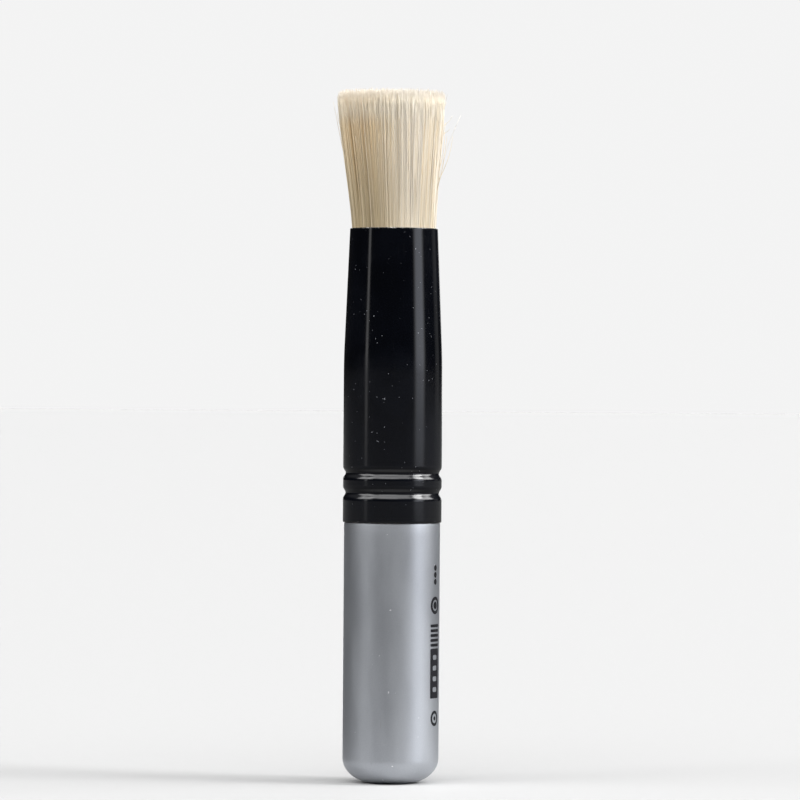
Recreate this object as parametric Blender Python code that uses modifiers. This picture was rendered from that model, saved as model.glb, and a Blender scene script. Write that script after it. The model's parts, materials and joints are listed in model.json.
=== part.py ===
"""Round stencil brush: a turned handle, a crimped ferrule and a flared tuft of bristle.

Metres, +Z up. The origin is the centre of the handle's flat base, and +Z runs up to the bristles.
"""

import math

import bmesh
import bpy

# Overall sizes
GRIP_LENGTH = 0.0485  # handle from its base to the ferrule's lower edge
HANDLE_DIAMETER = 0.018
FERRULE_LENGTH = 0.055
MOUTH_DIAMETER = 0.0165  # ferrule's outside at the bristle end
TUFT_LENGTH = 0.0252  # bristle that shows above the ferrule
TUFT_TOP_DIAMETER = 0.0203

# Handle
BASE_FLAT_DIAMETER = 0.0064
BASE_ROUND_HEIGHT = 0.0046  # height over which the base rounds up into the straight grip
SHOULDER_ROUNDING = 0.00025
TENON_END_CLEARANCE = 0.0025  # the tenon stops this far below the ferrule's cone
TENON_CHAMFER = 0.001

# Ferrule
WALL = 0.0003
RIM_OVERHANG = 0.00025  # how far the ferrule stands out from the handle all round
COLLAR_LENGTH = 0.0306  # straight stretch that grips the tenon; the rest is the cone
CRIMP_DEPTH = 0.0005
CRIMP_WIDTH = 0.0022
CRIMP_HEIGHTS = (0.0055, 0.0092)  # middle of each rolled ring above the ferrule's lower edge

# Cement at the root
AIR_SPACE = 0.0025  # room left between the tenon and the cement
GLUE_THICKNESS = 0.004
GLUE_DISH = 0.0008  # depth of the hollow that the cement sets with on its lower face

# Bristle tuft
TOP_CROWN = 0.0005  # how far the middle of the trimmed end stands above its edge
TOP_EDGE_RADIUS = 0.0007
ROOT_CHAMFER = 0.0006
GROOVE_SLOPE = 0.0006  # height over which the thread's groove runs out at each side

# Thread binding
THREAD_DIAMETER = 0.0007
THREAD_TURNS = 3.5
THREAD_PITCH = 0.00105
BINDING_OFFSET = 0.0018  # plain bristle below the thread's groove

# Gap between pieces that touch
GAP = 0.0003

AROUND = 64  # facets round the pieces that show
AROUND_HIDDEN = 40  # facets round the pieces inside the ferrule
CRIMP_POINTS = 8
BASE_POINTS = 10
POINTS_PER_TURN = 24  # along the thread
FLARE_STEPS = 9
DISH_STEPS = 5
SHARP_ANGLE = 35  # degrees; corners sharper than this stay crisp

# Heights, from the base up, that follow from the sizes
FERRULE_BOTTOM = GRIP_LENGTH + GAP
CONE_BOTTOM = FERRULE_BOTTOM + COLLAR_LENGTH
TENON_TOP = CONE_BOTTOM - TENON_END_CLEARANCE
GLUE_BOTTOM = TENON_TOP + AIR_SPACE
GLUE_TOP = GLUE_BOTTOM + GLUE_THICKNESS
TUFT_BOTTOM = GLUE_TOP + GAP
MOUTH = FERRULE_BOTTOM + FERRULE_LENGTH
TUFT_TOP = MOUTH + TUFT_LENGTH

HANDLE_RADIUS = HANDLE_DIAMETER / 2
COLLAR_RADIUS = HANDLE_RADIUS + RIM_OVERHANG
MOUTH_RADIUS = MOUTH_DIAMETER / 2
THREAD_RADIUS = THREAD_DIAMETER / 2
COIL_HEIGHT = THREAD_TURNS * THREAD_PITCH
GROOVE_BOTTOM = TUFT_BOTTOM + BINDING_OFFSET
COIL_BOTTOM = GROOVE_BOTTOM + GAP + THREAD_RADIUS
GROOVE_TOP = COIL_BOTTOM + COIL_HEIGHT + THREAD_RADIUS + GAP


def clear_scene():
    for obj in list(bpy.data.objects):
        bpy.data.objects.remove(obj)


def material(name, colour, roughness, metallic=0.0):
    made = bpy.data.materials.new(name)
    made.use_nodes = True
    shader = made.node_tree.nodes["Principled BSDF"]
    shader.inputs["Base Color"].default_value = (*colour, 1)
    shader.inputs["Roughness"].default_value = roughness
    shader.inputs["Metallic"].default_value = metallic
    made.diffuse_color = (*colour, 1)
    return made


def arc(centre_r, centre_z, radius, start, end, count):
    """Points (r, z) on an arc from the angle start to the angle end, in degrees."""
    points = []
    for step in range(count + 1):
        angle = math.radians(start + (end - start) * step / count)
        points.append((centre_r + radius * math.cos(angle), centre_z + radius * math.sin(angle)))
    return points


def turned(name, profile, facets, look, parts, closed=False):
    """A solid of revolution about Z. The profile runs down its outer side; a closed one returns up
    its inner side."""
    outline = bpy.data.meshes.new(name + "_outline")
    form = bmesh.new()
    corners = [form.verts.new((r, 0, z)) for r, z in profile]
    for first, second in zip(corners, corners[1:]):
        form.edges.new((first, second))
    if closed:
        form.edges.new((corners[-1], corners[0]))
    form.to_mesh(outline)
    form.free()
    obj = bpy.data.objects.new(name, outline)
    parts.objects.link(obj)
    spin = obj.modifiers.new("turn", "SCREW")
    spin.axis = "Z"
    spin.steps = facets
    spin.render_steps = facets
    spin.use_merge_vertices = True
    spin.merge_threshold = 0.00001
    graph = bpy.context.evaluated_depsgraph_get()
    solid = bpy.data.meshes.new_from_object(obj.evaluated_get(graph), depsgraph=graph)
    obj.modifiers.remove(spin)
    obj.data = solid
    bpy.data.meshes.remove(outline)
    solid.name = name
    solid.materials.append(look)
    solid.shade_smooth()
    solid.set_sharp_from_angle(angle=math.radians(SHARP_ANGLE))
    return obj


def crimp_dip(z):
    """How far the rolled rings press the ferrule in at this height."""
    for height in CRIMP_HEIGHTS:
        offset = abs(z - FERRULE_BOTTOM - height) / (CRIMP_WIDTH / 2)
        if offset < 1:
            return CRIMP_DEPTH * (1 + math.cos(math.pi * offset)) / 2
    return 0.0


def ferrule_radius(z):
    """Outside of the ferrule: a straight collar with its rolled rings, then a cone up to the mouth."""
    if z <= CONE_BOTTOM:
        return COLLAR_RADIUS - crimp_dip(z)
    along = (z - CONE_BOTTOM) / (MOUTH - CONE_BOTTOM)
    return COLLAR_RADIUS + (MOUTH_RADIUS - COLLAR_RADIUS) * along


def bore_radius(z):
    return ferrule_radius(z) - WALL


def collar_heights(low, high):
    """Heights, from low to high, at which the collar changes shape."""
    heights = [low, high]
    for height in CRIMP_HEIGHTS:
        for step in range(CRIMP_POINTS + 1):
            heights.append(FERRULE_BOTTOM + height + CRIMP_WIDTH * (step / CRIMP_POINTS - 0.5))
    return sorted(z for z in heights if low <= z <= high)


def handle(parts):
    tenon_top_radius = bore_radius(TENON_TOP) - GAP - TENON_CHAMFER
    profile = [(0, TENON_TOP), (tenon_top_radius, TENON_TOP)]
    for z in reversed(collar_heights(GRIP_LENGTH, TENON_TOP - TENON_CHAMFER)):
        profile.append((bore_radius(z) - GAP, z))
    profile += arc(
        HANDLE_RADIUS - SHOULDER_ROUNDING, GRIP_LENGTH - SHOULDER_ROUNDING, SHOULDER_ROUNDING, 90, 0, 3
    )
    flat_radius = BASE_FLAT_DIAMETER / 2
    for step in range(BASE_POINTS + 1):
        angle = math.pi / 2 * step / BASE_POINTS
        r = flat_radius + (HANDLE_RADIUS - flat_radius) * math.cos(angle)
        profile.append((r, BASE_ROUND_HEIGHT * (1 - math.sin(angle))))
    profile.append((0, 0))
    silver = material("silver_paint", (0.55, 0.57, 0.60), 0.38, 0.6)
    return turned("handle", profile, AROUND, silver, parts)


def ferrule(parts):
    heights = collar_heights(FERRULE_BOTTOM, CONE_BOTTOM) + [MOUTH]
    outside = [(ferrule_radius(z), z) for z in reversed(heights)]
    inside = [(bore_radius(z), z) for z in heights]
    black = material("black_enamel", (0.008, 0.009, 0.013), 0.12)
    return turned("ferrule", outside + inside, AROUND, black, parts, closed=True)


def flare(along):
    """Share of the tuft's widening reached at this share of its length: gentle, then steep, then gentle."""
    eased = along * along * (3 - 2 * along)
    return (along + eased) / 2


def tuft_radius(z):
    """Outside of the bundle: it fills the bore below the mouth and flares above it."""
    if z <= MOUTH:
        return bore_radius(z) - GAP
    widening = TUFT_TOP_DIAMETER / 2 - bore_radius(MOUTH)
    return bore_radius(MOUTH) + widening * flare((z - MOUTH) / TUFT_LENGTH)


def coil_radius():
    """Radius of the thread's middle line, so that its turns stay clear of the bore."""
    return min(bore_radius(GROOVE_BOTTOM), bore_radius(GROOVE_TOP)) - GAP - THREAD_RADIUS


def bristle_tuft(parts):
    rim_z = TUFT_TOP - TOP_CROWN - TOP_EDGE_RADIUS
    rim_r = tuft_radius(rim_z)
    profile = [(0, TUFT_TOP)]
    profile.append((rim_r / 2, TUFT_TOP - TOP_CROWN / 4))
    profile += arc(rim_r - TOP_EDGE_RADIUS, rim_z, TOP_EDGE_RADIUS, 90, 0, 4)
    for step in range(1, FLARE_STEPS + 1):
        z = rim_z + (MOUTH - rim_z) * step / FLARE_STEPS
        profile.append((tuft_radius(z), z))
    waist = coil_radius() - THREAD_RADIUS - GAP
    profile.append((tuft_radius(GROOVE_TOP + GROOVE_SLOPE), GROOVE_TOP + GROOVE_SLOPE))
    profile.append((waist, GROOVE_TOP))
    profile.append((waist, GROOVE_BOTTOM))
    profile.append((tuft_radius(GROOVE_BOTTOM - GROOVE_SLOPE), GROOVE_BOTTOM - GROOVE_SLOPE))
    profile.append((tuft_radius(TUFT_BOTTOM + ROOT_CHAMFER), TUFT_BOTTOM + ROOT_CHAMFER))
    profile.append((tuft_radius(TUFT_BOTTOM) - ROOT_CHAMFER, TUFT_BOTTOM))
    profile.append((0, TUFT_BOTTOM))
    bristle = material("bristle", (0.72, 0.62, 0.46), 0.7)
    return turned("bristle_tuft", profile, AROUND, bristle, parts)


def root_binding(parts):
    """The thread: one coil wound round the waist of the bundle, its turns a little apart."""
    count = round(THREAD_TURNS * POINTS_PER_TURN)
    curve = bpy.data.curves.new("root_binding", "CURVE")
    curve.dimensions = "3D"
    curve.bevel_depth = THREAD_RADIUS
    curve.bevel_resolution = 2
    curve.use_fill_caps = True
    line = curve.splines.new("POLY")
    line.points.add(count)
    for number, point in enumerate(line.points):
        share = number / count
        angle = 2 * math.pi * THREAD_TURNS * share
        x = coil_radius() * math.cos(angle)
        y = coil_radius() * math.sin(angle)
        point.co = (x, y, COIL_BOTTOM + COIL_HEIGHT * share, 1)
    obj = bpy.data.objects.new("root_binding", curve)
    parts.objects.link(obj)
    curve.materials.append(material("binding_thread", (0.80, 0.77, 0.68), 0.85))
    return obj


def glue_plug(parts):
    """Cement between the bundle's lower end and the tenon, dished where it set against air."""
    radius = bore_radius(GLUE_BOTTOM) - GAP
    profile = [(0, GLUE_TOP), (bore_radius(GLUE_TOP) - GAP, GLUE_TOP)]
    for step in range(DISH_STEPS + 1):
        share = 1 - step / DISH_STEPS
        profile.append((radius * share, GLUE_BOTTOM + GLUE_DISH * (1 - share**2)))
    cement = material("root_cement", (0.55, 0.42, 0.20), 0.3)
    return turned("glue_plug", profile, AROUND_HIDDEN, cement, parts)


def main():
    clear_scene()
    parts = bpy.data.collections.new("round_stencil_brush")
    bpy.context.scene.collection.children.link(parts)
    handle(parts)
    ferrule(parts)
    bristle_tuft(parts)
    root_binding(parts)
    glue_plug(parts)


main()
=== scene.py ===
"""Looks of the round stencil brush: single bristles, enamelled ferrule, silver painted handle and its
printed marks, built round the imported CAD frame. Metres, +Z up, origin at the centre of the flat base."""

import json
import math

import bmesh
import bpy
import numpy as np
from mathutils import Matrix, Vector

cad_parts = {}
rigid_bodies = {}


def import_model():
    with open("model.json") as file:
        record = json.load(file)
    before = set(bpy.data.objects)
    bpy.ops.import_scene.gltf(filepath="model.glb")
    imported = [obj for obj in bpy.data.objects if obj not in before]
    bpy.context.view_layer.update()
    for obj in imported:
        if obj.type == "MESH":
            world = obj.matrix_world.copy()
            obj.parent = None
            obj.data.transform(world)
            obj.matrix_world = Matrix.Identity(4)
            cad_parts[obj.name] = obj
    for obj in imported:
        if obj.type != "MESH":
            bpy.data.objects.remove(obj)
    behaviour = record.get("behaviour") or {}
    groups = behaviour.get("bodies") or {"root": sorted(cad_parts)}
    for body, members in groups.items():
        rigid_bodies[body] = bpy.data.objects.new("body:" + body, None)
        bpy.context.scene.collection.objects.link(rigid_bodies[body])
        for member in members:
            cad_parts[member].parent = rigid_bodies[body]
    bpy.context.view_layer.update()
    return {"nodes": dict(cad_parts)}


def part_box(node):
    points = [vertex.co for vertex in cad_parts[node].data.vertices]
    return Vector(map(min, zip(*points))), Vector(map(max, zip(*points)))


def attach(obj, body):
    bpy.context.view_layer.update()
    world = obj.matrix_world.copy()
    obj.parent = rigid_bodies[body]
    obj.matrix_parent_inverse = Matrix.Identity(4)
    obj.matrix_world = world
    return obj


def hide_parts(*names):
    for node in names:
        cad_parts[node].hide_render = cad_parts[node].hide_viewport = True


for leftover in list(bpy.data.objects):
    bpy.data.objects.remove(leftover)

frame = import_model()
random = np.random.default_rng(20871)

# ---------------------------------------------------------------- sizes read from the frame


def node_points(name):
    """(height, distance from the axis) of every corner of a CAD node."""
    corners = np.array([v.co for v in frame["nodes"][name].data.vertices])
    return corners[:, 2], np.hypot(corners[:, 0], corners[:, 1])


def outline_of(name, inside=False):
    """Heights, and the node's outer (or inner) radius at each."""
    heights, radii = node_points(name)
    heights = np.round(heights, 6)
    levels = np.unique(heights)
    pick = np.min if inside else np.max
    return levels, np.array([pick(radii[heights == level]) for level in levels])


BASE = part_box("handle")[0].z
FERRULE_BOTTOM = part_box("ferrule")[0].z
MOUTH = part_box("ferrule")[1].z
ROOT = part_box("bristle_tuft")[0].z
TUFT_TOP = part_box("bristle_tuft")[1].z
TUFT_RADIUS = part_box("bristle_tuft")[1].x
THREAD_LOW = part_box("root_binding")[0].z
THREAD_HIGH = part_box("root_binding")[1].z
HANDLE_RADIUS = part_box("handle")[1].x
TENON_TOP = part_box("handle")[1].z

handle_levels, handle_radii = outline_of("handle")
ferrule_levels, ferrule_radii = outline_of("ferrule")
bore_levels, bore_radii = outline_of("ferrule", inside=True)
thread_inside = node_points("root_binding")[1].min()

# ---------------------------------------------------------------- sizes chosen here

# How the hairs fill the bundle
HAIRS = 15000
SHELL = 0.82  # outside this share of the radius the hairs are finer and closer together
SHELL_SHARE = 0.5  # this share of the hairs is in the shell
SHELL_FINENESS = 0.78
PLACE_SPREAD = 0.35  # scatter of a hair about its even place, in spacings between hairs
WALL_CLEARANCE = 0.00004  # between the outermost hairs and the ferrule's bore
THREAD_CLEARANCE = 0.00012
WAIST_SLOPE = 0.0012  # height over which the bundle narrows to the thread, below it and above it
LAST_HIDDEN = 0.0015  # a hair's last point inside the ferrule is this far under the mouth
LAYERS = (
    "bristles_core",
    "bristles_inner",
    "bristles_middle",
    "bristles_outer",
    "bristles_shell_inside",
    "bristles_shell_middle",
    "bristles_shell_outside",
)

# The shape of a hair
HAIR_SIDES = 3
HAIR_RADIUS = 0.00008  # at the root; natural bristle tapers to its tip
THICKNESS_SPREAD = 0.12
TIP_SHARE = 0.92  # thickness below the tip as a share of the root's
POINT_SHARE = 0.4  # what is left of that at the very tip
POINT_START = 0.93  # share of the free length at which the tip starts to narrow
POINT_LENGTH = 0.07
FREE_STEPS = (0.0, 0.13, 0.3, 0.48, 0.66, 0.82, 0.93, 1.0)  # a free hair's points, as shares of its length
CLUMPS = ((0.0022, 0.000012), (0.006, 0.00004))  # wavelength and reach of the pushes that gather hairs
LEAN_SPREAD = 0.00007
BOW_SPREAD = 0.00005
LEAN_POWER = 1.3  # a hair leans more and more towards its tip
TUFT_LEAN = -0.00075  # the tuft leans this far to the left at its end

# The trimmed end
CROWN = 0.0001  # the middle of the trimmed end stands this far above its edge
EDGE_DROP = 0.0004  # the outermost hairs end this far below it
EDGE_START = 0.92  # share of the radius where that drop begins
EDGE_WIDTH = 0.08
TRIM_SPREAD = 0.00042  # the trimmed ends' heights vary by this much
TRIM_REACH = 0.0008  # and none stands further above the trim than this
SHORT_SHARE = 0.6  # hairs that ended below the trim
SHORT_REACH = 0.0015  # by this much on average
SHORTEST = 0.005  # and by no more than this
FLAG_SHARE = 0.25  # this share of the hairs ends in two finer branches
FLAG_RADIUS = 0.00003
FLAG_SPREAD = 0.00014

# The hairs' tones, from 0 for the brownest to 1 for the palest
TONE = 0.71
TONE_SPREAD = 0.09
TONE_PATCHES = ((0.007, 0.04), (0.0016, 0.025))  # wavelength and depth of the patches of like tone
DEEP = 0.15  # over this share of the radius, from the outside in, the hairs get browner: painted shade, so the gaps between the outer hairs look darker and warmer
DEEP_SHADE_TONE = 0.26
PAINTED_LIGHT_SIDE = math.radians(75)  # painted light: the hairs are paler towards the right, where the light falls
PAINTED_LIGHT_SIDE_TONE = 0.12
DARK_LOCK_AND_SHADE = math.radians(-30)  # a bunch of browner hair left of the front, partly browner hair and partly painted shade on the left of the tuft
DARK_LOCK_AND_SHADE_WIDTH = math.radians(20)
DARK_LOCK_AND_SHADE_TONE = 0.24
BROWN_AND_SHADED_SIDE = math.radians(-58)  # the hair beyond that bunch is browner too, partly browner hair and partly painted shade
BROWN_AND_SHADED_SIDE_WIDTH = math.radians(18)
BROWN_AND_SHADED_SIDE_TONE = 0.27
TONE_LIMITS = (0.004, 0.996)
MAP_WIDTH = 0.004  # a hair's width on the tone and length map

# Stray hairs: azimuth in degrees, start as a share of the free length, reach outwards and upwards, droop
STRAYS = (
    (88, 0.27, 0.0044, 0.0145, -0.0006),
    (84, 0.34, 0.0029, 0.0088, 0.0005),
    (80, 0.40, 0.0013, 0.0080, 0.0004),
    (92, 0.76, 0.0019, 0.0021, 0.0003),
    (86, 0.70, 0.0016, 0.0011, 0.0002),
    (82, 0.79, 0.0009, 0.0038, -0.0003),
    (-88, 0.74, 0.0009, 0.0030, 0.0002),
    (-80, 0.66, 0.0006, 0.0042, -0.0002),
)
LOOSE_HAIRS = 46
STRAY_POINTS = 9
STRAY_FINENESS = 0.9
STRAY_DROOP_SPREAD = 0.0002

# Handle and ferrule
AROUND = 160  # facets round the turned pieces
WELD = 0.000004  # corners of a turned piece closer than this become one
SAME = 1e-6  # radii closer than this are the same
SEAT_GAP = 0.00002  # between the handle's shoulder and the ferrule's lower edge
BASE_STEPS = 28
GRIP_STEPS = 24
FERRULE_STEPS = 200
SHOULDER_REACH = 0.0025  # the ferrule turns from collar to cone over this much either way
SHOULDER_SAMPLES = 21
RIM_RADIUS = 0.00011  # rounding of the ferrule's cut edges
RIM_STEPS = 5

# Printed marks, up the side of the handle
PRINT_RELIEF = 0.000025  # ink stands this far above the paint
PRINT_SIDE = math.radians(65)
PRINT_WIDTH = 0.0033
PRINT_BENDS = (-0.0024, 0.0025, 0.0003)  # first, last and step of the cuts that let the ink bend round
DOTS_HEIGHT = 0.0391
DISC_HEIGHT = 0.0334
TICKS_HEIGHT = 0.0278
BAR_HEIGHT = 0.0207
RING_HEIGHT = 0.0123

# Boxes of light on the world: azimuth and elevation of the middle, half width and height, softness of the
# edge, all in degrees, and brightness. Azimuth 0 is the camera's side and 90 the brush's right.
LIGHT_BOXES = (
    ((66, 4), (12, 9), 11, 2.5),
    ((126, 4), (9, 9), 6, 0.16),
    ((-65, 4), (3.0, 9), 2, 1.5),
    ((88, 26), (25, 12), 14, 7.6),
    ((-73, 32), (20, 13), 12, 4.6),
    ((-12, 38), (26, 14), 10, 1.0),
    ((-6, 49), (62, 15), 14, 3.4),
    ((180, 58), (60, 16), 20, 1.4),
    ((174, 4), (12, 9), 6, 1.2),
)
COOL = (0.86, 0.9, 1.0, 1)  # tint of the first box
BACKDROP = 0.9  # the world's brightness as the camera sees it
FLOOR_REACH = 30

VIEW_WIDTH = 0.150  # the picture's width at the brush
VIEW_DISTANCE = 0.9
VIEW_HEIGHT = 0.0717
VIEW_SHIFT = 0.00132  # the brush stands a little left of the middle
VIEW_LEAN = math.radians(0.41)  # the brush leans a touch, its base to the left
SENSOR_MM = 36.0

# ---------------------------------------------------------------- node and mesh helpers


def add(tree, kind, inputs=(), **settings):
    """A new shader node. inputs is {socket name or number: value or another node's output}."""
    made = tree.nodes.new(kind)
    for setting, value in settings.items():
        setattr(made, setting, value)
    for socket, value in dict(inputs).items():
        join(tree, value, made.inputs[socket])
    return made


def join(tree, value, socket):
    if isinstance(value, bpy.types.NodeSocket):
        tree.links.new(value, socket)
    else:
        socket.default_value = value


def maths(tree, operation, first, second=0.0):
    return add(tree, "ShaderNodeMath", {0: first, 1: second}, operation=operation).outputs[0]


def remap(tree, value, low, high, to_low=0.0, to_high=1.0):
    """Smooth step from to_low, at low, to to_high, at high."""
    inputs = {"Value": value, "From Min": low, "From Max": high, "To Min": to_low, "To Max": to_high}
    return add(tree, "ShaderNodeMapRange", inputs, interpolation_type="SMOOTHSTEP").outputs["Result"]


def mixed(tree, share, first, second):
    """Mix of two colours."""
    made = add(tree, "ShaderNodeMix", data_type="RGBA")
    join(tree, share, made.inputs["Factor"])
    join(tree, first, made.inputs["A"])
    join(tree, second, made.inputs["B"])
    return [output for output in made.outputs if output.type == "RGBA"][0]


def ramp(tree, value, stops):
    """Colour ramp; stops are (place, (r, g, b))."""
    made = add(tree, "ShaderNodeValToRGB", {"Fac": value})
    elements = made.color_ramp.elements
    while len(elements) < len(stops):
        elements.new(0.5)
    for element, (place, colour) in zip(elements, stops):
        element.position = place
        element.color = (*colour, 1)
    return made.outputs["Color"]


def noise(tree, place, scale, detail=2.0, roughness=0.5):
    inputs = {"Vector": place, "Scale": scale, "Detail": detail, "Roughness": roughness}
    return add(tree, "ShaderNodeTexNoise", inputs).outputs["Fac"]


def stretched(tree, place, x, y, z):
    return add(tree, "ShaderNodeMapping", {"Vector": place, "Scale": (x, y, z)}).outputs["Vector"]


def bumped(tree, height, distance, strength=1.0, normal=None):
    inputs = {"Height": height, "Distance": distance, "Strength": strength}
    if normal is not None:
        inputs["Normal"] = normal
    return add(tree, "ShaderNodeBump", inputs).outputs["Normal"]


def new_material(name):
    """(material, its node tree, its Principled shader, object coordinates)."""
    made = bpy.data.materials.new(name)
    made.use_nodes = True
    tree = made.node_tree
    place = add(tree, "ShaderNodeTexCoord").outputs["Object"]
    return made, tree, tree.nodes["Principled BSDF"], place


def set_inputs(tree, shader, inputs):
    for socket, value in inputs.items():
        join(tree, value, shader.inputs[socket])


def linked(name, mesh):
    obj = bpy.data.objects.new(name, mesh)
    bpy.context.scene.collection.objects.link(obj)
    return obj


def fitted(obj, slot, *nodes):
    """The piece rides on the brush and stands for those CAD nodes, if any. slot is not used."""
    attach(obj, "root")
    if nodes:
        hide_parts(*nodes)


def turned(name, outline, looks, closed=False, sharp=35):
    """Solid of revolution about Z. The outline, as (radius, height), runs up its outer side."""
    form = bmesh.new()
    corners = [form.verts.new((r, 0, z)) for r, z in outline]
    edges = [form.edges.new(pair) for pair in zip(corners, corners[1:])]
    if closed:
        edges.append(form.edges.new((corners[-1], corners[0])))
    bmesh.ops.spin(
        form, geom=corners + edges, axis=(0, 0, 1), cent=(0, 0, 0), steps=AROUND, angle=2 * math.pi
    )
    bmesh.ops.remove_doubles(form, verts=form.verts, dist=WELD)
    bmesh.ops.recalc_face_normals(form, faces=form.faces)
    mesh = bpy.data.meshes.new(name)
    form.to_mesh(mesh)
    form.free()
    for look in looks:
        mesh.materials.append(look)
    mesh.shade_smooth()
    mesh.set_sharp_from_angle(angle=math.radians(sharp))
    return linked(name, mesh)


def arc(centre_r, centre_z, radius, start, end, count):
    """Points (radius, height) on an arc from the angle start to the angle end, in degrees."""
    angles = np.radians(np.linspace(start, end, count + 1))
    return [(centre_r + radius * math.cos(a), centre_z + radius * math.sin(a)) for a in angles]


# ---------------------------------------------------------------- materials


def bristle_look():
    """Natural bristle. Its colour hangs on the hair's own tone (across the map) and on the place along the
    hair (up the map), so every hair carries its own colour: browner towards the root, a paler band below
    the end that is partly the hair's paler end and partly painted light, and painted shade on the cut tip."""
    made, tree, shader, place = new_material("natural_bristle")
    uv = add(tree, "ShaderNodeUVMap", uv_map="OFBake").outputs["UV"]
    split = add(tree, "ShaderNodeSeparateXYZ", {"Vector": uv})
    tone, along = split.outputs["X"], split.outputs["Y"]
    stops = [
        (0.0, (0.66, 0.45, 0.22)),
        (0.25, (0.90, 0.68, 0.41)),
        (0.5, (0.955, 0.805, 0.57)),
        (0.75, (0.975, 0.885, 0.735)),
        (1.0, (0.99, 0.94, 0.86)),
    ]
    tan, brown = (0.72, 0.55, 0.32, 1), (0.46, 0.375, 0.235, 1)
    # the first colour is partly the hairs' paler ends and partly painted light; the second is painted shade
    # on the cut tips
    pale_end_and_light, painted_tip_shade = (0.99, 0.925, 0.80, 1), (0.56, 0.51, 0.44, 1)
    body = ramp(tree, tone, stops)
    blotch_place = add(tree, "ShaderNodeCombineXYZ", {"X": maths(tree, "MULTIPLY", tone, 60.0), "Y": along})
    blotch = noise(tree, blotch_place.outputs["Vector"], 4.0, 3.0)
    body = mixed(tree, remap(tree, blotch, 0.45, 0.75, 0.0, 0.14), body, tan)
    dark_reach = remap(tree, tone, 0.3, 0.6, 1.0, 0.82)
    dark_root = remap(tree, along, 0.45, dark_reach, 0.92, 0.0)
    root_share = maths(tree, "MULTIPLY", dark_root, remap(tree, tone, 0.3, 0.75, 1.0, 0.3))
    body = mixed(tree, root_share, body, brown)
    # partly painted light: a paler band up to the end lifts the shade under the tips, besides the hairs'
    # own paler ends
    pale_end_and_light_share = remap(tree, along, 0.85, 0.93, 0.0, 0.6)
    body = mixed(tree, pale_end_and_light_share, body, pale_end_and_light)
    # painted shade: the cut tips are darker to offset the light that falls on them from above
    tip_shade_share = remap(tree, along, 0.955, 1.005, 0.0, remap(tree, tone, 0.5, 0.9, 0.7, 0.9))
    body = mixed(tree, tip_shade_share, body, painted_tip_shade)
    scales = noise(tree, stretched(tree, place, 1, 1, 0.35), 9000.0, 1.0)
    gloss = remap(tree, blotch, 0.3, 0.7, 0.34, 0.52)
    set_inputs(
        tree,
        shader,
        {
            "Base Color": body,
            "Roughness": gloss,
            "Specular IOR Level": 0.15,
            "Normal": bumped(tree, scales, 0.00001, 0.35),
        },
    )
    return made


def enamel_look():
    """Glossy black enamel on drawn metal: soft waves, fine rubs, a little dust, bare metal at the mouth."""
    made, tree, shader, place = new_material("black_enamel_gloss")
    rubs = noise(tree, stretched(tree, place, 1, 1, 0.08), 1800.0, 4.0, 0.6)
    haze = noise(tree, place, 90.0, 4.0, 0.55)
    height = add(tree, "ShaderNodeSeparateXYZ", {"Vector": place}).outputs["Z"]
    chips = noise(tree, place, 2600.0, 3.0, 0.65)
    from_rim = maths(tree, "ABSOLUTE", maths(tree, "SUBTRACT", height, MOUTH))
    near_rim = remap(tree, from_rim, 0.00003, 0.00022, 1.0, 0.0)
    bare = maths(tree, "MULTIPLY", near_rim, remap(tree, chips, 0.5, 0.62))
    deep_black, soft_black = (0.001, 0.0013, 0.0024, 1), (0.002, 0.0026, 0.0048, 1)
    enamel = mixed(tree, remap(tree, haze, 0.3, 0.7), deep_black, soft_black)
    rubbed = remap(tree, rubs, 0.62, 0.8, 0.0, 0.16)
    gloss = maths(tree, "ADD", remap(tree, haze, 0.35, 0.75, 0.10, 0.17), rubbed)
    waves = noise(tree, stretched(tree, place, 1, 1, 0.3), 260.0, 2.0)
    peel = noise(tree, place, 1500.0, 2.0)
    normal = bumped(tree, waves, 0.00004, 0.22)
    normal = bumped(tree, peel, 0.000004, 0.25, normal)
    dust = remap(tree, noise(tree, place, 2900.0, 0.0), 0.835, 0.87, 0.0, 0.6)
    enamel = mixed(tree, dust, enamel, (0.30, 0.31, 0.34, 1))
    set_inputs(
        tree,
        shader,
        {
            "Base Color": mixed(tree, bare, enamel, (0.62, 0.61, 0.58, 1)),
            "Metallic": bare,
            "Roughness": gloss,
            "Specular IOR Level": 0.5,
            "Normal": normal,
        },
    )
    return made


def bare_metal_look():
    """The ferrule's unpainted inside: drawn tin-plate with lines along the draw."""
    made, tree, shader, place = new_material("drawn_tinplate")
    lines = noise(tree, stretched(tree, place, 1, 1, 0.03), 2500.0, 3.0)
    stain = noise(tree, place, 160.0, 3.0)
    shade = mixed(tree, remap(tree, stain, 0.35, 0.7), (0.62, 0.61, 0.58, 1), (0.42, 0.40, 0.36, 1))
    set_inputs(
        tree,
        shader,
        {
            "Base Color": shade,
            "Metallic": 1.0,
            "Roughness": remap(tree, lines, 0.3, 0.7, 0.25, 0.42),
            "Normal": bumped(tree, lines, 0.00001, 0.3),
        },
    )
    return made


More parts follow.
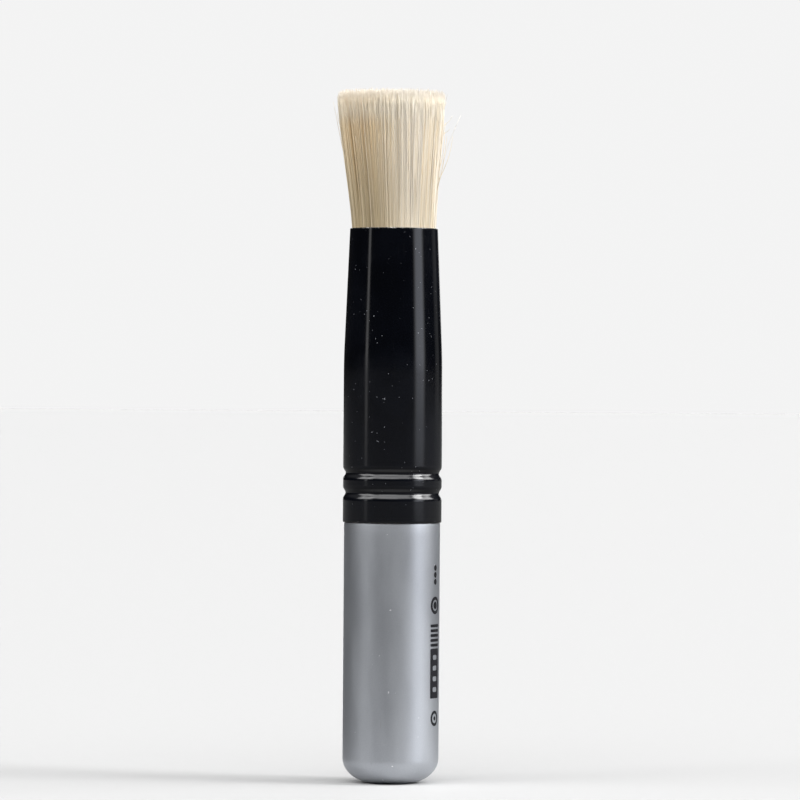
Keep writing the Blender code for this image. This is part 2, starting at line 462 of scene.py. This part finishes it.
def silver_look():
    """Satin silver paint: fine flake, slight orange peel, small nibs and scuffs."""
    made, tree, shader, place = new_material("satin_silver_paint")
    flake = add(tree, "ShaderNodeTexVoronoi", {"Vector": place, "Scale": 9000.0})
    flake_shade = add(tree, "ShaderNodeSeparateXYZ", {"Vector": flake.outputs["Color"]}).outputs["X"]
    cloud = noise(tree, stretched(tree, place, 1, 1, 0.25), 150.0, 4.0, 0.55)
    peel = noise(tree, place, 900.0, 2.0)
    scuffs = noise(tree, stretched(tree, place, 3.0, 3.0, 0.35), 330.0, 5.0, 0.7)
    scuffed = remap(tree, scuffs, 0.66, 0.74)
    nibs = noise(tree, place, 1300.0, 1.0)
    nib = remap(tree, nibs, 0.78, 0.82)
    dark_silver, pale_silver = (0.40, 0.418, 0.452, 1), (0.455, 0.475, 0.508, 1)
    paint = mixed(tree, remap(tree, cloud, 0.3, 0.7), dark_silver, pale_silver)
    paint = mixed(tree, maths(tree, "MULTIPLY", flake_shade, 0.22), paint, (0.58, 0.60, 0.63, 1))
    paint = mixed(tree, maths(tree, "MULTIPLY", scuffed, 0.35), paint, (0.30, 0.30, 0.31, 1))
    paint = mixed(tree, nib, paint, (0.85, 0.86, 0.88, 1))
    dulled = maths(tree, "MULTIPLY", scuffed, 0.1)
    gloss = maths(tree, "ADD", remap(tree, cloud, 0.3, 0.7, 0.42, 0.48), dulled)
    normal = bumped(tree, peel, 0.00002, 0.18)
    normal = bumped(tree, flake_shade, 0.000004, 0.25, normal)
    normal = bumped(tree, nib, 0.00002, 0.4, normal)
    set_inputs(
        tree,
        shader,
        {
            "Base Color": paint,
            "Metallic": 0.95,
            "Roughness": gloss,
            "Specular IOR Level": 0.5,
            "Normal": normal,
        },
    )
    return made


def wood_look():
    """Bare turned wood of the tenon, with grain along the handle."""
    made, tree, shader, place = new_material("turned_wood")
    grain = noise(tree, stretched(tree, place, 1, 1, 0.06), 900.0, 6.0, 0.6)
    pores = noise(tree, stretched(tree, place, 1, 1, 0.03), 3500.0, 2.0)
    stops = [(0.3, (0.52, 0.36, 0.20)), (0.5, (0.70, 0.52, 0.32)), (0.72, (0.78, 0.62, 0.42))]
    wood = ramp(tree, grain, stops)
    wood = mixed(tree, remap(tree, pores, 0.6, 0.75, 0.0, 0.5), wood, (0.30, 0.19, 0.10, 1))
    set_inputs(
        tree,
        shader,
        {
            "Base Color": wood,
            "Roughness": remap(tree, grain, 0.3, 0.7, 0.55, 0.75),
            "Normal": bumped(tree, pores, 0.00003, 0.5),
        },
    )
    return made


def ink_look():
    """Pad-printed dark ink, a little worn so that the paint shows in specks."""
    made, tree, shader, place = new_material("printed_ink")
    worn = noise(tree, place, 3200.0, 3.0, 0.6)
    patch = noise(tree, place, 700.0, 2.0)
    speck = remap(tree, worn, 0.7, 0.78, 0.0, 0.5)
    ink = mixed(tree, remap(tree, patch, 0.35, 0.7), (0.004, 0.004, 0.006, 1), (0.009, 0.009, 0.012, 1))
    set_inputs(
        tree,
        shader,
        {
            "Base Color": mixed(tree, speck, ink, (0.40, 0.41, 0.43, 1)),
            "Roughness": remap(tree, patch, 0.3, 0.7, 0.45, 0.6),
            "Specular IOR Level": 0.2,
            "Normal": bumped(tree, worn, 0.00001, 0.3),
        },
    )
    return made


def thread_look():
    """Waxed twine of the binding, a little dirty."""
    made, tree, shader, place = new_material("waxed_thread")
    fibres = noise(tree, stretched(tree, place, 1, 1, 0.4), 6000.0, 3.0)
    dirt = noise(tree, place, 500.0, 2.0)
    twine = mixed(tree, remap(tree, fibres, 0.3, 0.7), (0.62, 0.57, 0.46, 1), (0.84, 0.80, 0.70, 1))
    set_inputs(
        tree,
        shader,
        {
            "Base Color": mixed(tree, remap(tree, dirt, 0.5, 0.8, 0.0, 0.4), twine, (0.45, 0.36, 0.22, 1)),
            "Roughness": remap(tree, fibres, 0.3, 0.7, 0.6, 0.8),
            "Normal": bumped(tree, fibres, 0.00003, 0.7),
        },
    )
    return made


def cement_look():
    """Set amber cement that soaked between the hairs' ends."""
    made, tree, shader, place = new_material("set_cement")
    flow = noise(tree, place, 350.0, 4.0)
    bubbles = add(tree, "ShaderNodeTexVoronoi", {"Vector": place, "Scale": 1400.0}).outputs["Distance"]
    set_inputs(
        tree,
        shader,
        {
            "Base Color": ramp(tree, flow, [(0.3, (0.30, 0.17, 0.06)), (0.7, (0.55, 0.38, 0.16))]),
            "Roughness": remap(tree, flow, 0.3, 0.7, 0.18, 0.34),
            "Normal": bumped(tree, bubbles, 0.00006, 0.4),
        },
    )
    return made


# ---------------------------------------------------------------- bristles


def flare(along):
    """Share of the tuft's widening reached at this share of its length."""
    eased = along * along * (3 - 2 * along)
    return (along + eased) / 2


def bundle_radius(heights):
    """Radius of the whole bundle: pinched by the thread, filling the bore, then flaring."""
    waist = thread_inside - THREAD_CLEARANCE
    levels = [ROOT, THREAD_LOW - WAIST_SLOPE, THREAD_LOW, THREAD_HIGH, THREAD_HIGH + WAIST_SLOPE, MOUTH]
    full = [np.interp(z, bore_levels, bore_radii) - WALL_CLEARANCE - HAIR_RADIUS for z in levels]
    radii = [full[0], full[1], waist, waist, full[4], full[5]]
    hidden = np.interp(heights, levels, radii)
    along = np.clip((heights - MOUTH) / (TUFT_TOP - MOUTH), 0, 1.1)
    return hidden + (TUFT_RADIUS - full[5]) * flare(along)


def swirl(points, wavelength, reach, waves=7):
    """A smooth sideways push at each point (x, y), which gathers neighbouring hairs into clumps."""
    push = np.zeros_like(points)
    for _ in range(waves):
        turn = random.uniform(0, 2 * math.pi)
        phase = random.uniform(0, 2 * math.pi, 2)
        number = 2 * math.pi / (wavelength * random.uniform(0.7, 1.5))
        place = (points[:, 0] * math.cos(turn) + points[:, 1] * math.sin(turn)) * number
        both_ways = np.stack([np.sin(place + phase[0]), np.sin(place + phase[1])], axis=1)
        push += reach / math.sqrt(waves) * both_ways
    return push


def hair_mesh(name, lines, radii, along, tones, look):
    """One mesh of many tapered hairs. lines is (hairs, points, 3), radii and along are (hairs, points),
    and tones has one value for each hair. Tone and place along the hair go into the map that the
    material reads."""
    hairs, points, _ = lines.shape
    tangent = np.gradient(lines, axis=1)
    tangent /= np.linalg.norm(tangent, axis=2, keepdims=True)
    turn = random.uniform(0, 2 * math.pi, hairs)
    side = np.stack([np.cos(turn), np.sin(turn), np.zeros(hairs)], axis=1)[:, None, :]
    side = side - (side * tangent).sum(axis=2, keepdims=True) * tangent
    side /= np.linalg.norm(side, axis=2, keepdims=True)
    other = np.cross(tangent, side)
    rings = []
    for corner in range(HAIR_SIDES):
        angle = 2 * math.pi * corner / HAIR_SIDES
        rings.append(lines + radii[:, :, None] * (math.cos(angle) * side + math.sin(angle) * other))
    vertices = np.stack(rings, axis=2).reshape(-1, 3)

    first = np.arange(hairs)[:, None, None] * points * HAIR_SIDES
    level = np.arange(points - 1)[None, :, None] * HAIR_SIDES
    here = np.arange(HAIR_SIDES)[None, None, :]
    following = (here + 1) % HAIR_SIDES
    quads = np.stack(
        [
            first + level + here,
            first + level + following,
            first + level + HAIR_SIDES + following,
            first + level + HAIR_SIDES + here,
        ],
        axis=3,
    ).reshape(-1, 4)
    root_caps = first[:, 0, 0][:, None] + np.arange(HAIR_SIDES)[None, ::-1]
    tip_caps = first[:, 0, 0][:, None] + (points - 1) * HAIR_SIDES + np.arange(HAIR_SIDES)[None, :]
    mesh = bpy.data.meshes.new(name)
    mesh.from_pydata(vertices.tolist(), [], quads.tolist() + root_caps.tolist() + tip_caps.tolist())

    shape = (hairs, points - 1, HAIR_SIDES)
    left = np.broadcast_to(tones[:, None, None] + MAP_WIDTH * (here / HAIR_SIDES - 0.5), shape)
    right = left + MAP_WIDTH / HAIR_SIDES
    low = np.broadcast_to(along[:, :-1, None], shape)
    high = np.broadcast_to(along[:, 1:, None], shape)
    quad_map = np.stack([left, low, right, low, right, high, left, high], axis=3).reshape(-1, 2)
    cap = np.array([[-0.5, -0.5], [0.5, -0.5], [0.0, 0.5]]) * MAP_WIDTH
    root_map = np.stack([tones, along[:, 0] + MAP_WIDTH], axis=1)[:, None, :] + cap
    tip_map = np.stack([tones, along[:, -1] - MAP_WIDTH], axis=1)[:, None, :] + cap
    layer = mesh.uv_layers.new(name="OFBake")
    layout = np.concatenate([quad_map, root_map.reshape(-1, 2), tip_map.reshape(-1, 2)])
    layer.data.foreach_set("uv", layout.astype(np.float32).ravel())
    mesh.materials.append(look)
    mesh.shade_smooth()
    return linked(name, mesh)


def bristle_lines():
    """(lines, radii, along, tones, share of the bundle's radius) of every hair in the bundle."""
    number = (np.arange(HAIRS) + 0.5) / HAIRS
    area = np.interp(number, [0, 1 - SHELL_SHARE, 1], [0, SHELL**2, 1])
    share = np.sqrt(area)
    around = np.arange(HAIRS) * math.pi * (3 - math.sqrt(5))
    across = np.stack([share * np.cos(around), share * np.sin(around)], axis=1)
    across += random.normal(0, PLACE_SPREAD / math.sqrt(HAIRS), across.shape)
    share = np.linalg.norm(across, axis=1)
    across /= np.maximum(share, 1.0)[:, None]
    share = np.minimum(share, 1.0)

    short = random.uniform(0, 1, HAIRS) < SHORT_SHARE
    drop = random.normal(0, TRIM_SPREAD, HAIRS).clip(-TRIM_REACH)
    drop += short * random.exponential(SHORT_REACH, HAIRS).clip(0, SHORTEST)
    edge_drop = EDGE_DROP * np.clip((share - EDGE_START) / EDGE_WIDTH, 0, 1) ** 2
    tips = TUFT_TOP - CROWN * share**2 - drop - edge_drop

    waist_low, waist_high = THREAD_LOW - WAIST_SLOPE, THREAD_HIGH + WAIST_SLOPE
    below = np.array([ROOT, waist_low, THREAD_LOW, THREAD_HIGH, waist_high, MOUTH - LAST_HIDDEN])
    steps = np.array(FREE_STEPS)
    above = MOUTH + steps[None, :] * (tips - MOUTH)[:, None]
    heights = np.concatenate([np.broadcast_to(below, (HAIRS, len(below))), above], axis=1)
    along = (heights - ROOT) / (TUFT_TOP - ROOT)

    free = np.clip((heights - MOUTH) / (TUFT_TOP - MOUTH), 0, 1)
    flat = across * TUFT_RADIUS
    gather = sum(swirl(flat, *clump) for clump in CLUMPS)
    lean = random.normal(0, LEAN_SPREAD, (HAIRS, 2))
    bow = random.normal(0, BOW_SPREAD, (HAIRS, 2))
    free_wave = np.sin(free * math.pi)[:, :, None]
    sideways = (gather + lean)[:, None, :] * (free**LEAN_POWER)[:, :, None] + bow[:, None, :] * free_wave
    sideways[:, :, 0] += TUFT_LEAN * free
    outward = across[:, None, :] * bundle_radius(heights)[:, :, None]
    lines = np.concatenate([outward + sideways, heights[:, :, None]], axis=2)

    pointing = np.concatenate([np.zeros(len(below)), np.clip((steps - POINT_START) / POINT_LENGTH, 0, 1)])
    taper = (1 - (1 - TIP_SHARE) * free) * (1 - (1 - POINT_SHARE) * pointing)
    thickness = random.normal(1, THICKNESS_SPREAD, HAIRS).clip(0.7, 1.3)
    thickness *= np.where(share > SHELL, SHELL_FINENESS, 1)
    radii = HAIR_RADIUS * thickness[:, None] * taper
    return lines, radii, along, hair_tones(across, share), share


def hair_tones(across, share):
    """Each hair's tone, from its place in the bundle and a little chance. The place carries painted light
    on the right and painted shade on the left and deep in the bundle.
    """
    patch = sum(swirl(across * TUFT_RADIUS, *patches)[:, 0] for patches in TONE_PATCHES)
    direction = np.arctan2(across[:, 0], -across[:, 1])
    lock_and_shade = np.exp(-(((direction - DARK_LOCK_AND_SHADE) / DARK_LOCK_AND_SHADE_WIDTH) ** 2))
    side = np.exp(-(((direction - BROWN_AND_SHADED_SIDE) / BROWN_AND_SHADED_SIDE_WIDTH) ** 2))
    # painted light on the right side; painted shade, together with browner hair, on the left
    patch += PAINTED_LIGHT_SIDE_TONE * np.cos(direction - PAINTED_LIGHT_SIDE) - DARK_LOCK_AND_SHADE_TONE * lock_and_shade - BROWN_AND_SHADED_SIDE_TONE * side
    # painted shade: hairs deep in the bundle, seen only in the gaps, are browner
    patch -= DEEP_SHADE_TONE * np.clip((1 - share) / DEEP, 0, 1)
    return (TONE + patch + random.normal(0, TONE_SPREAD, HAIRS)).clip(*TONE_LIMITS)


def split_ends(lines, along, tones):
    """(lines, radii, along, tones) of the two finer, paler branches in which each of these hairs ends."""
    branches, shades = [], []
    for _ in range(2):
        spread = random.normal(0, FLAG_SPREAD, (len(lines), 3))
        branches.append(lines[:, -3:] + spread[:, None, :] * np.array([0, 0.5, 1])[None, :, None])
        shades.append((tones + random.normal(0.06, 0.06, len(tones))).clip(*TONE_LIMITS))
    lines, along = np.concatenate(branches), np.concatenate([along[:, -3:]] * 2)
    radii = np.broadcast_to(FLAG_RADIUS * np.array([[1.0, 0.9, 0.45]]), along.shape)
    return lines, radii, along, np.concatenate(shades)


def stray_line(azimuth, start, outwards, upwards, droop):
    """Points of a hair that leaves the tuft's side and ends outside it; azimuth in radians."""
    heading = np.array([math.sin(azimuth), -math.cos(azimuth), 0])
    across = np.array([-heading[1], heading[0], 0])
    up = np.array([0, 0, 1])
    z = MOUTH + start * (TUFT_TOP - MOUTH)
    radius = bundle_radius(np.array([z]))[0] - 3 * HAIR_RADIUS
    foot = heading * radius + up * z
    foot[0] += TUFT_LEAN * start
    share = np.linspace(0, 1, STRAY_POINTS)[:, None]
    bend = np.sin(share * math.pi)
    straight = share * (heading * outwards + up * upwards)
    return foot + straight + bend * (droop * heading + 0.4 * droop * across)


def strays(look):
    """Hairs that stand away from the tuft: a few long ones on the right and short ones all round."""
    lines = [stray_line(math.radians(row[0]), *row[1:]) for row in STRAYS]
    for _ in range(LOOSE_HAIRS):
        start = random.uniform(0.1, 0.9)
        upwards = (1.02 - start) * (TUFT_TOP - MOUTH) * random.uniform(0.4, 0.95)
        azimuth = random.uniform(0, 2 * math.pi)
        outwards = upwards * random.uniform(0.08, 0.24)
        droop = random.normal(0, STRAY_DROOP_SPREAD)
        lines.append(stray_line(azimuth, start, outwards, upwards, droop))
    lines = np.stack(lines)
    along = (lines[:, :, 2] - ROOT) / (TUFT_TOP - ROOT)
    taper = np.linspace(1, POINT_SHARE, STRAY_POINTS)[None, :]
    radii = STRAY_FINENESS * HAIR_RADIUS * np.broadcast_to(taper, along.shape)
    tones = random.uniform(0.5, 0.98, len(lines))
    obj = hair_mesh("stray_bristles", lines, radii, along.clip(0, 0.99), tones, look)
    fitted(obj, "bristle", "bristle_tuft")


def bristles(look):
    """The whole tuft, in layers from the core out, then the split ends and the strays."""
    lines, radii, along, tones, share = bristle_lines()
    order = np.argsort(share)
    for name, mine in zip(LAYERS, np.array_split(order, len(LAYERS))):
        obj = hair_mesh(name, lines[mine], radii[mine], along[mine], tones[mine], look)
        fitted(obj, "bristle", "bristle_tuft")
    mine = random.uniform(0, 1, HAIRS) < FLAG_SHARE
    obj = hair_mesh("bristle_split_ends", *split_ends(lines[mine], along[mine], tones[mine]), look)
    fitted(obj, "bristle", "bristle_tuft")
    strays(look)


# ---------------------------------------------------------------- handle and ferrule


def handle(paint, wood):
    """The handle's CAD outline with a finer curve at the base, its shoulder closed up to the ferrule. The
    tenon inside the ferrule is bare wood."""
    flat = handle_radii[0]
    full = np.where(handle_radii > HANDLE_RADIUS - SAME)[0]
    round_top, grip_top = handle_levels[full[0]], handle_levels[full[-1]]
    outline = [(0, BASE)]
    for angle in np.linspace(0, math.pi / 2, BASE_STEPS):
        outline.append((flat + (HANDLE_RADIUS - flat) * math.sin(angle), round_top * (1 - math.cos(angle))))
    for z in np.linspace(round_top, grip_top, GRIP_STEPS)[1:]:
        outline.append((HANDLE_RADIUS, z))
    shoulder_top = handle_levels[(handle_levels > grip_top) & (handle_levels < FERRULE_BOTTOM)].max()
    closing = FERRULE_BOTTOM - SEAT_GAP - shoulder_top
    for r, z in zip(handle_radii, handle_levels):
        if z > grip_top:
            outline.append((r, z + (closing if z <= shoulder_top else 0)))
    outline.append((0, TENON_TOP))
    obj = turned("silver_handle", outline, [paint, wood])
    for face in obj.data.polygons:
        if face.center.z > FERRULE_BOTTOM:
            face.material_index = 1
    fitted(obj, "silver_paint", "handle")


def ferrule(enamel, metal):
    """The ferrule's CAD outline with rounded cut edges; its inside stays bare metal."""
    levels = np.linspace(FERRULE_BOTTOM + RIM_RADIUS, MOUTH - RIM_RADIUS, FERRULE_STEPS)
    near = np.linspace(-SHOULDER_REACH, SHOULDER_REACH, SHOULDER_SAMPLES)
    collar_top = ferrule_levels[ferrule_radii > ferrule_radii[0] - SAME].max()
    outside = []
    for z in levels:
        spots = z + near * min(1, abs(MOUTH - z) / SHOULDER_REACH) * (z > collar_top - SHOULDER_REACH)
        outside.append((np.interp(spots, ferrule_levels, ferrule_radii).mean(), z))
    inside = [(np.interp(z, bore_levels, bore_radii), z) for z in levels[::-1]]
    mouth_r = outside[-1][0]
    bottom_r = outside[0][0]
    high, low = levels[-1], levels[0]
    rim = arc(mouth_r - RIM_RADIUS, high, RIM_RADIUS, 0, 90, RIM_STEPS)[1:]
    rim += arc(inside[0][0] + RIM_RADIUS, high, RIM_RADIUS, 90, 180, RIM_STEPS)[:-1]
    foot = arc(inside[-1][0] + RIM_RADIUS, low, RIM_RADIUS, 180, 270, RIM_STEPS)[1:]
    foot += arc(bottom_r - RIM_RADIUS, low, RIM_RADIUS, 270, 360, RIM_STEPS)[:-1]
    obj = turned("enamelled_ferrule", outside + rim + inside + foot, [enamel, metal], closed=True, sharp=50)
    for face in obj.data.polygons:
        inward = face.normal.x * face.center.x + face.normal.y * face.center.y < 0
        if inward and MOUTH - 2 * RIM_RADIUS > face.center.z:
            face.material_index = 1
    fitted(obj, "black_enamel", "ferrule")


# ---------------------------------------------------------------- printed marks


def circle(x, y, radius, count=40):
    """Points of a circle about (x, y)."""
    angles = np.linspace(0, 2 * math.pi, count, endpoint=False)
    return [(x + radius * math.cos(a), y + radius * math.sin(a)) for a in angles]


def block(x, y, width, height, corner=0.00025):
    """Rounded rectangle about (x, y)."""
    points = []
    for start, sx, sy in ((0, 1, 1), (90, -1, 1), (180, -1, -1), (270, 1, -1)):
        points += arc(
            x + sx * (width / 2 - corner), y + sy * (height / 2 - corner), corner, start, start + 90, 4
        )
    return points


def printed(name, loops, look, angle, height):
    """Ink in the shape of these loops (a loop inside another is a hole), wrapped round the handle at this
    angle from the front."""
    curve = bpy.data.curves.new(name, "CURVE")
    curve.dimensions = "2D"
    curve.fill_mode = "BOTH"
    curve.extrude = PRINT_RELIEF
    for loop in loops:
        line = curve.splines.new("POLY")
        line.points.add(len(loop) - 1)
        line.use_cyclic_u = True
        for point, (x, y) in zip(line.points, loop):
            point.co = (x, y, 0, 1)
    flat = linked(name + "_flat", curve)
    graph = bpy.context.evaluated_depsgraph_get()
    mesh = bpy.data.meshes.new_from_object(flat.evaluated_get(graph), depsgraph=graph)
    bpy.data.objects.remove(flat)
    form = bmesh.new()
    form.from_mesh(mesh)
    bmesh.ops.remove_doubles(form, verts=form.verts, dist=1e-7)
    for x in np.arange(*PRINT_BENDS):
        everything = form.verts[:] + form.edges[:] + form.faces[:]
        bmesh.ops.bisect_plane(form, geom=everything, plane_co=(x, 0, 0), plane_no=(1, 0, 0))
    for corner in form.verts:
        x, y, z = corner.co
        turn = angle + x / HANDLE_RADIUS
        radius = HANDLE_RADIUS + z
        corner.co = (radius * math.sin(turn), -radius * math.cos(turn), height + y)
    bmesh.ops.recalc_face_normals(form, faces=form.faces)
    form.to_mesh(mesh)
    form.free()
    mesh.materials.append(look)
    obj = linked(name, mesh)
    fitted(obj, "silver_paint")


def prints(look):
    """Plain geometric marks down the side: dots, a ringed disc, ticks, a windowed bar and a ring."""
    half = PRINT_WIDTH / 2
    dots = [circle(0, y, 0.00055) for y in (-0.0013, 0, 0.0013)]
    printed("print_size_dots", dots, look, PRINT_SIDE, DOTS_HEIGHT)
    disc = [circle(0, 0, radius) for radius in (half, half - 0.0006, 0.0007)]
    printed("print_ringed_disc", disc, look, PRINT_SIDE, DISC_HEIGHT)
    ticks = [block(0, y, PRINT_WIDTH, 0.00055, 0.0002) for y in np.arange(-0.0018, 0.0019, 0.0009)]
    printed("print_ticks", ticks, look, PRINT_SIDE, TICKS_HEIGHT)
    bar = [block(0, 0, PRINT_WIDTH, 0.0093)]
    bar += [block(0, y, 0.0016, 0.0009, 0.0003) for y in (-0.003, -0.001, 0.001, 0.003)]
    printed("print_bar", bar, look, PRINT_SIDE, BAR_HEIGHT)
    ring = [circle(0, 0, radius) for radius in (0.00145, 0.0009, 0.0004)]
    printed("print_ring", ring, look, PRINT_SIDE, RING_HEIGHT)


# ---------------------------------------------------------------- stage, light and camera


def floor():
    """Plain pale paper. Away from the brush it throws back less light than the camera sees on it."""
    bpy.ops.mesh.primitive_circle_add(
        vertices=96, radius=FLOOR_REACH, fill_type="NGON", location=(0, 0, BASE)
    )
    obj = bpy.context.object
    obj.name = "studio_floor"
    made, tree, shader, place = new_material("pale_floor")
    grain = noise(tree, place, 400.0, 3.0)
    paper = mixed(tree, grain, (0.482, 0.482, 0.482, 1), (0.498, 0.498, 0.498, 1))
    seen = add(tree, "ShaderNodeLightPath").outputs["Is Camera Ray"]
    reach = add(tree, "ShaderNodeVectorMath", {0: place}, operation="LENGTH").outputs["Value"]
    bounce = mixed(tree, remap(tree, reach, 0.015, 0.085), paper, (0.1, 0.1, 0.1, 1))
    set_inputs(
        tree,
        shader,
        {
            "Base Color": mixed(tree, seen, bounce, paper),
            "Roughness": 0.8,
            "Specular IOR Level": 0.1,
        },
    )
    obj.data.materials.append(made)


def window(tree, azimuth, elevation, centre, half, soft):
    """1 inside a soft-edged box of directions, 0 outside; angles in degrees."""
    share = 1.0
    for angle, middle, reach in zip((azimuth, elevation), centre, half):
        away = maths(tree, "ABSOLUTE", maths(tree, "SUBTRACT", angle, math.radians(middle)))
        edge = remap(tree, away, math.radians(reach - soft / 2), math.radians(reach + soft / 2), 1.0, 0.0)
        share = maths(tree, "MULTIPLY", share, edge)
    return share


def studio_light():
    """A dim room with soft boxes painted on the world, so far off that they light the floor evenly, and
    one soft sun. The camera sees a plain backdrop instead."""
    world = bpy.data.worlds.new("studio")
    bpy.context.scene.world = world
    world.use_nodes = True
    tree = world.node_tree
    background = tree.nodes["Background"]
    direction = add(
        tree, "ShaderNodeSeparateXYZ", {"Vector": add(tree, "ShaderNodeTexCoord").outputs["Generated"]}
    )
    x, y, z = (direction.outputs[axis] for axis in "XYZ")
    azimuth = maths(tree, "ARCTAN2", x, maths(tree, "MULTIPLY", y, -1.0))
    elevation = maths(tree, "ARCSINE", z)
    dome = remap(tree, elevation, math.radians(12), math.radians(40), 0.02, 0.35)
    total = maths(tree, "MULTIPLY", dome, remap(tree, y, -0.5, 0.5, 1.0, 0.7))
    for centre, half, soft, brightness in LIGHT_BOXES:
        share = window(tree, azimuth, elevation, centre, half, soft)
        total = maths(tree, "ADD", total, maths(tree, "MULTIPLY", share, brightness))
    seen = add(tree, "ShaderNodeLightPath").outputs["Is Camera Ray"]
    total = maths(tree, "MULTIPLY", total, maths(tree, "SUBTRACT", 1.0, seen))
    total = maths(tree, "ADD", total, maths(tree, "MULTIPLY", seen, BACKDROP))
    join(tree, total, background.inputs["Strength"])
    tint = mixed(tree, window(tree, azimuth, elevation, *LIGHT_BOXES[0][:3]), (1, 1, 1, 1), COOL)
    join(tree, tint, background.inputs["Color"])

    sun = bpy.data.lights.new("key_light", "SUN")
    sun.energy = 1.6
    sun.angle = math.radians(22)
    lamp = linked("key_light", sun)
    lamp.rotation_euler = (math.radians(50), 0, math.radians(76))


def camera():
    """The photo's view: level, straight on, a hand's width across."""
    lens = bpy.data.cameras.new("photo_view")
    lens.sensor_width = SENSOR_MM
    lens.lens = SENSOR_MM * VIEW_DISTANCE / VIEW_WIDTH
    lens.clip_start = 0.01
    lens.clip_end = 200
    eye = linked("photo_view", lens)
    eye.location = (VIEW_SHIFT, -VIEW_DISTANCE, VIEW_HEIGHT)
    eye.rotation_euler = (math.radians(90), -VIEW_LEAN, 0)
    bpy.context.scene.camera = eye


def main():
    enamel, metal = enamel_look(), bare_metal_look()
    handle(silver_look(), wood_look())
    ferrule(enamel, metal)
    bristles(bristle_look())
    prints(ink_look())
    frame["nodes"]["root_binding"].data.materials[0] = thread_look()
    frame["nodes"]["glue_plug"].data.materials[0] = cement_look()
    floor()
    studio_light()
    camera()
    bpy.context.scene.view_settings.view_transform = "Standard"


main()
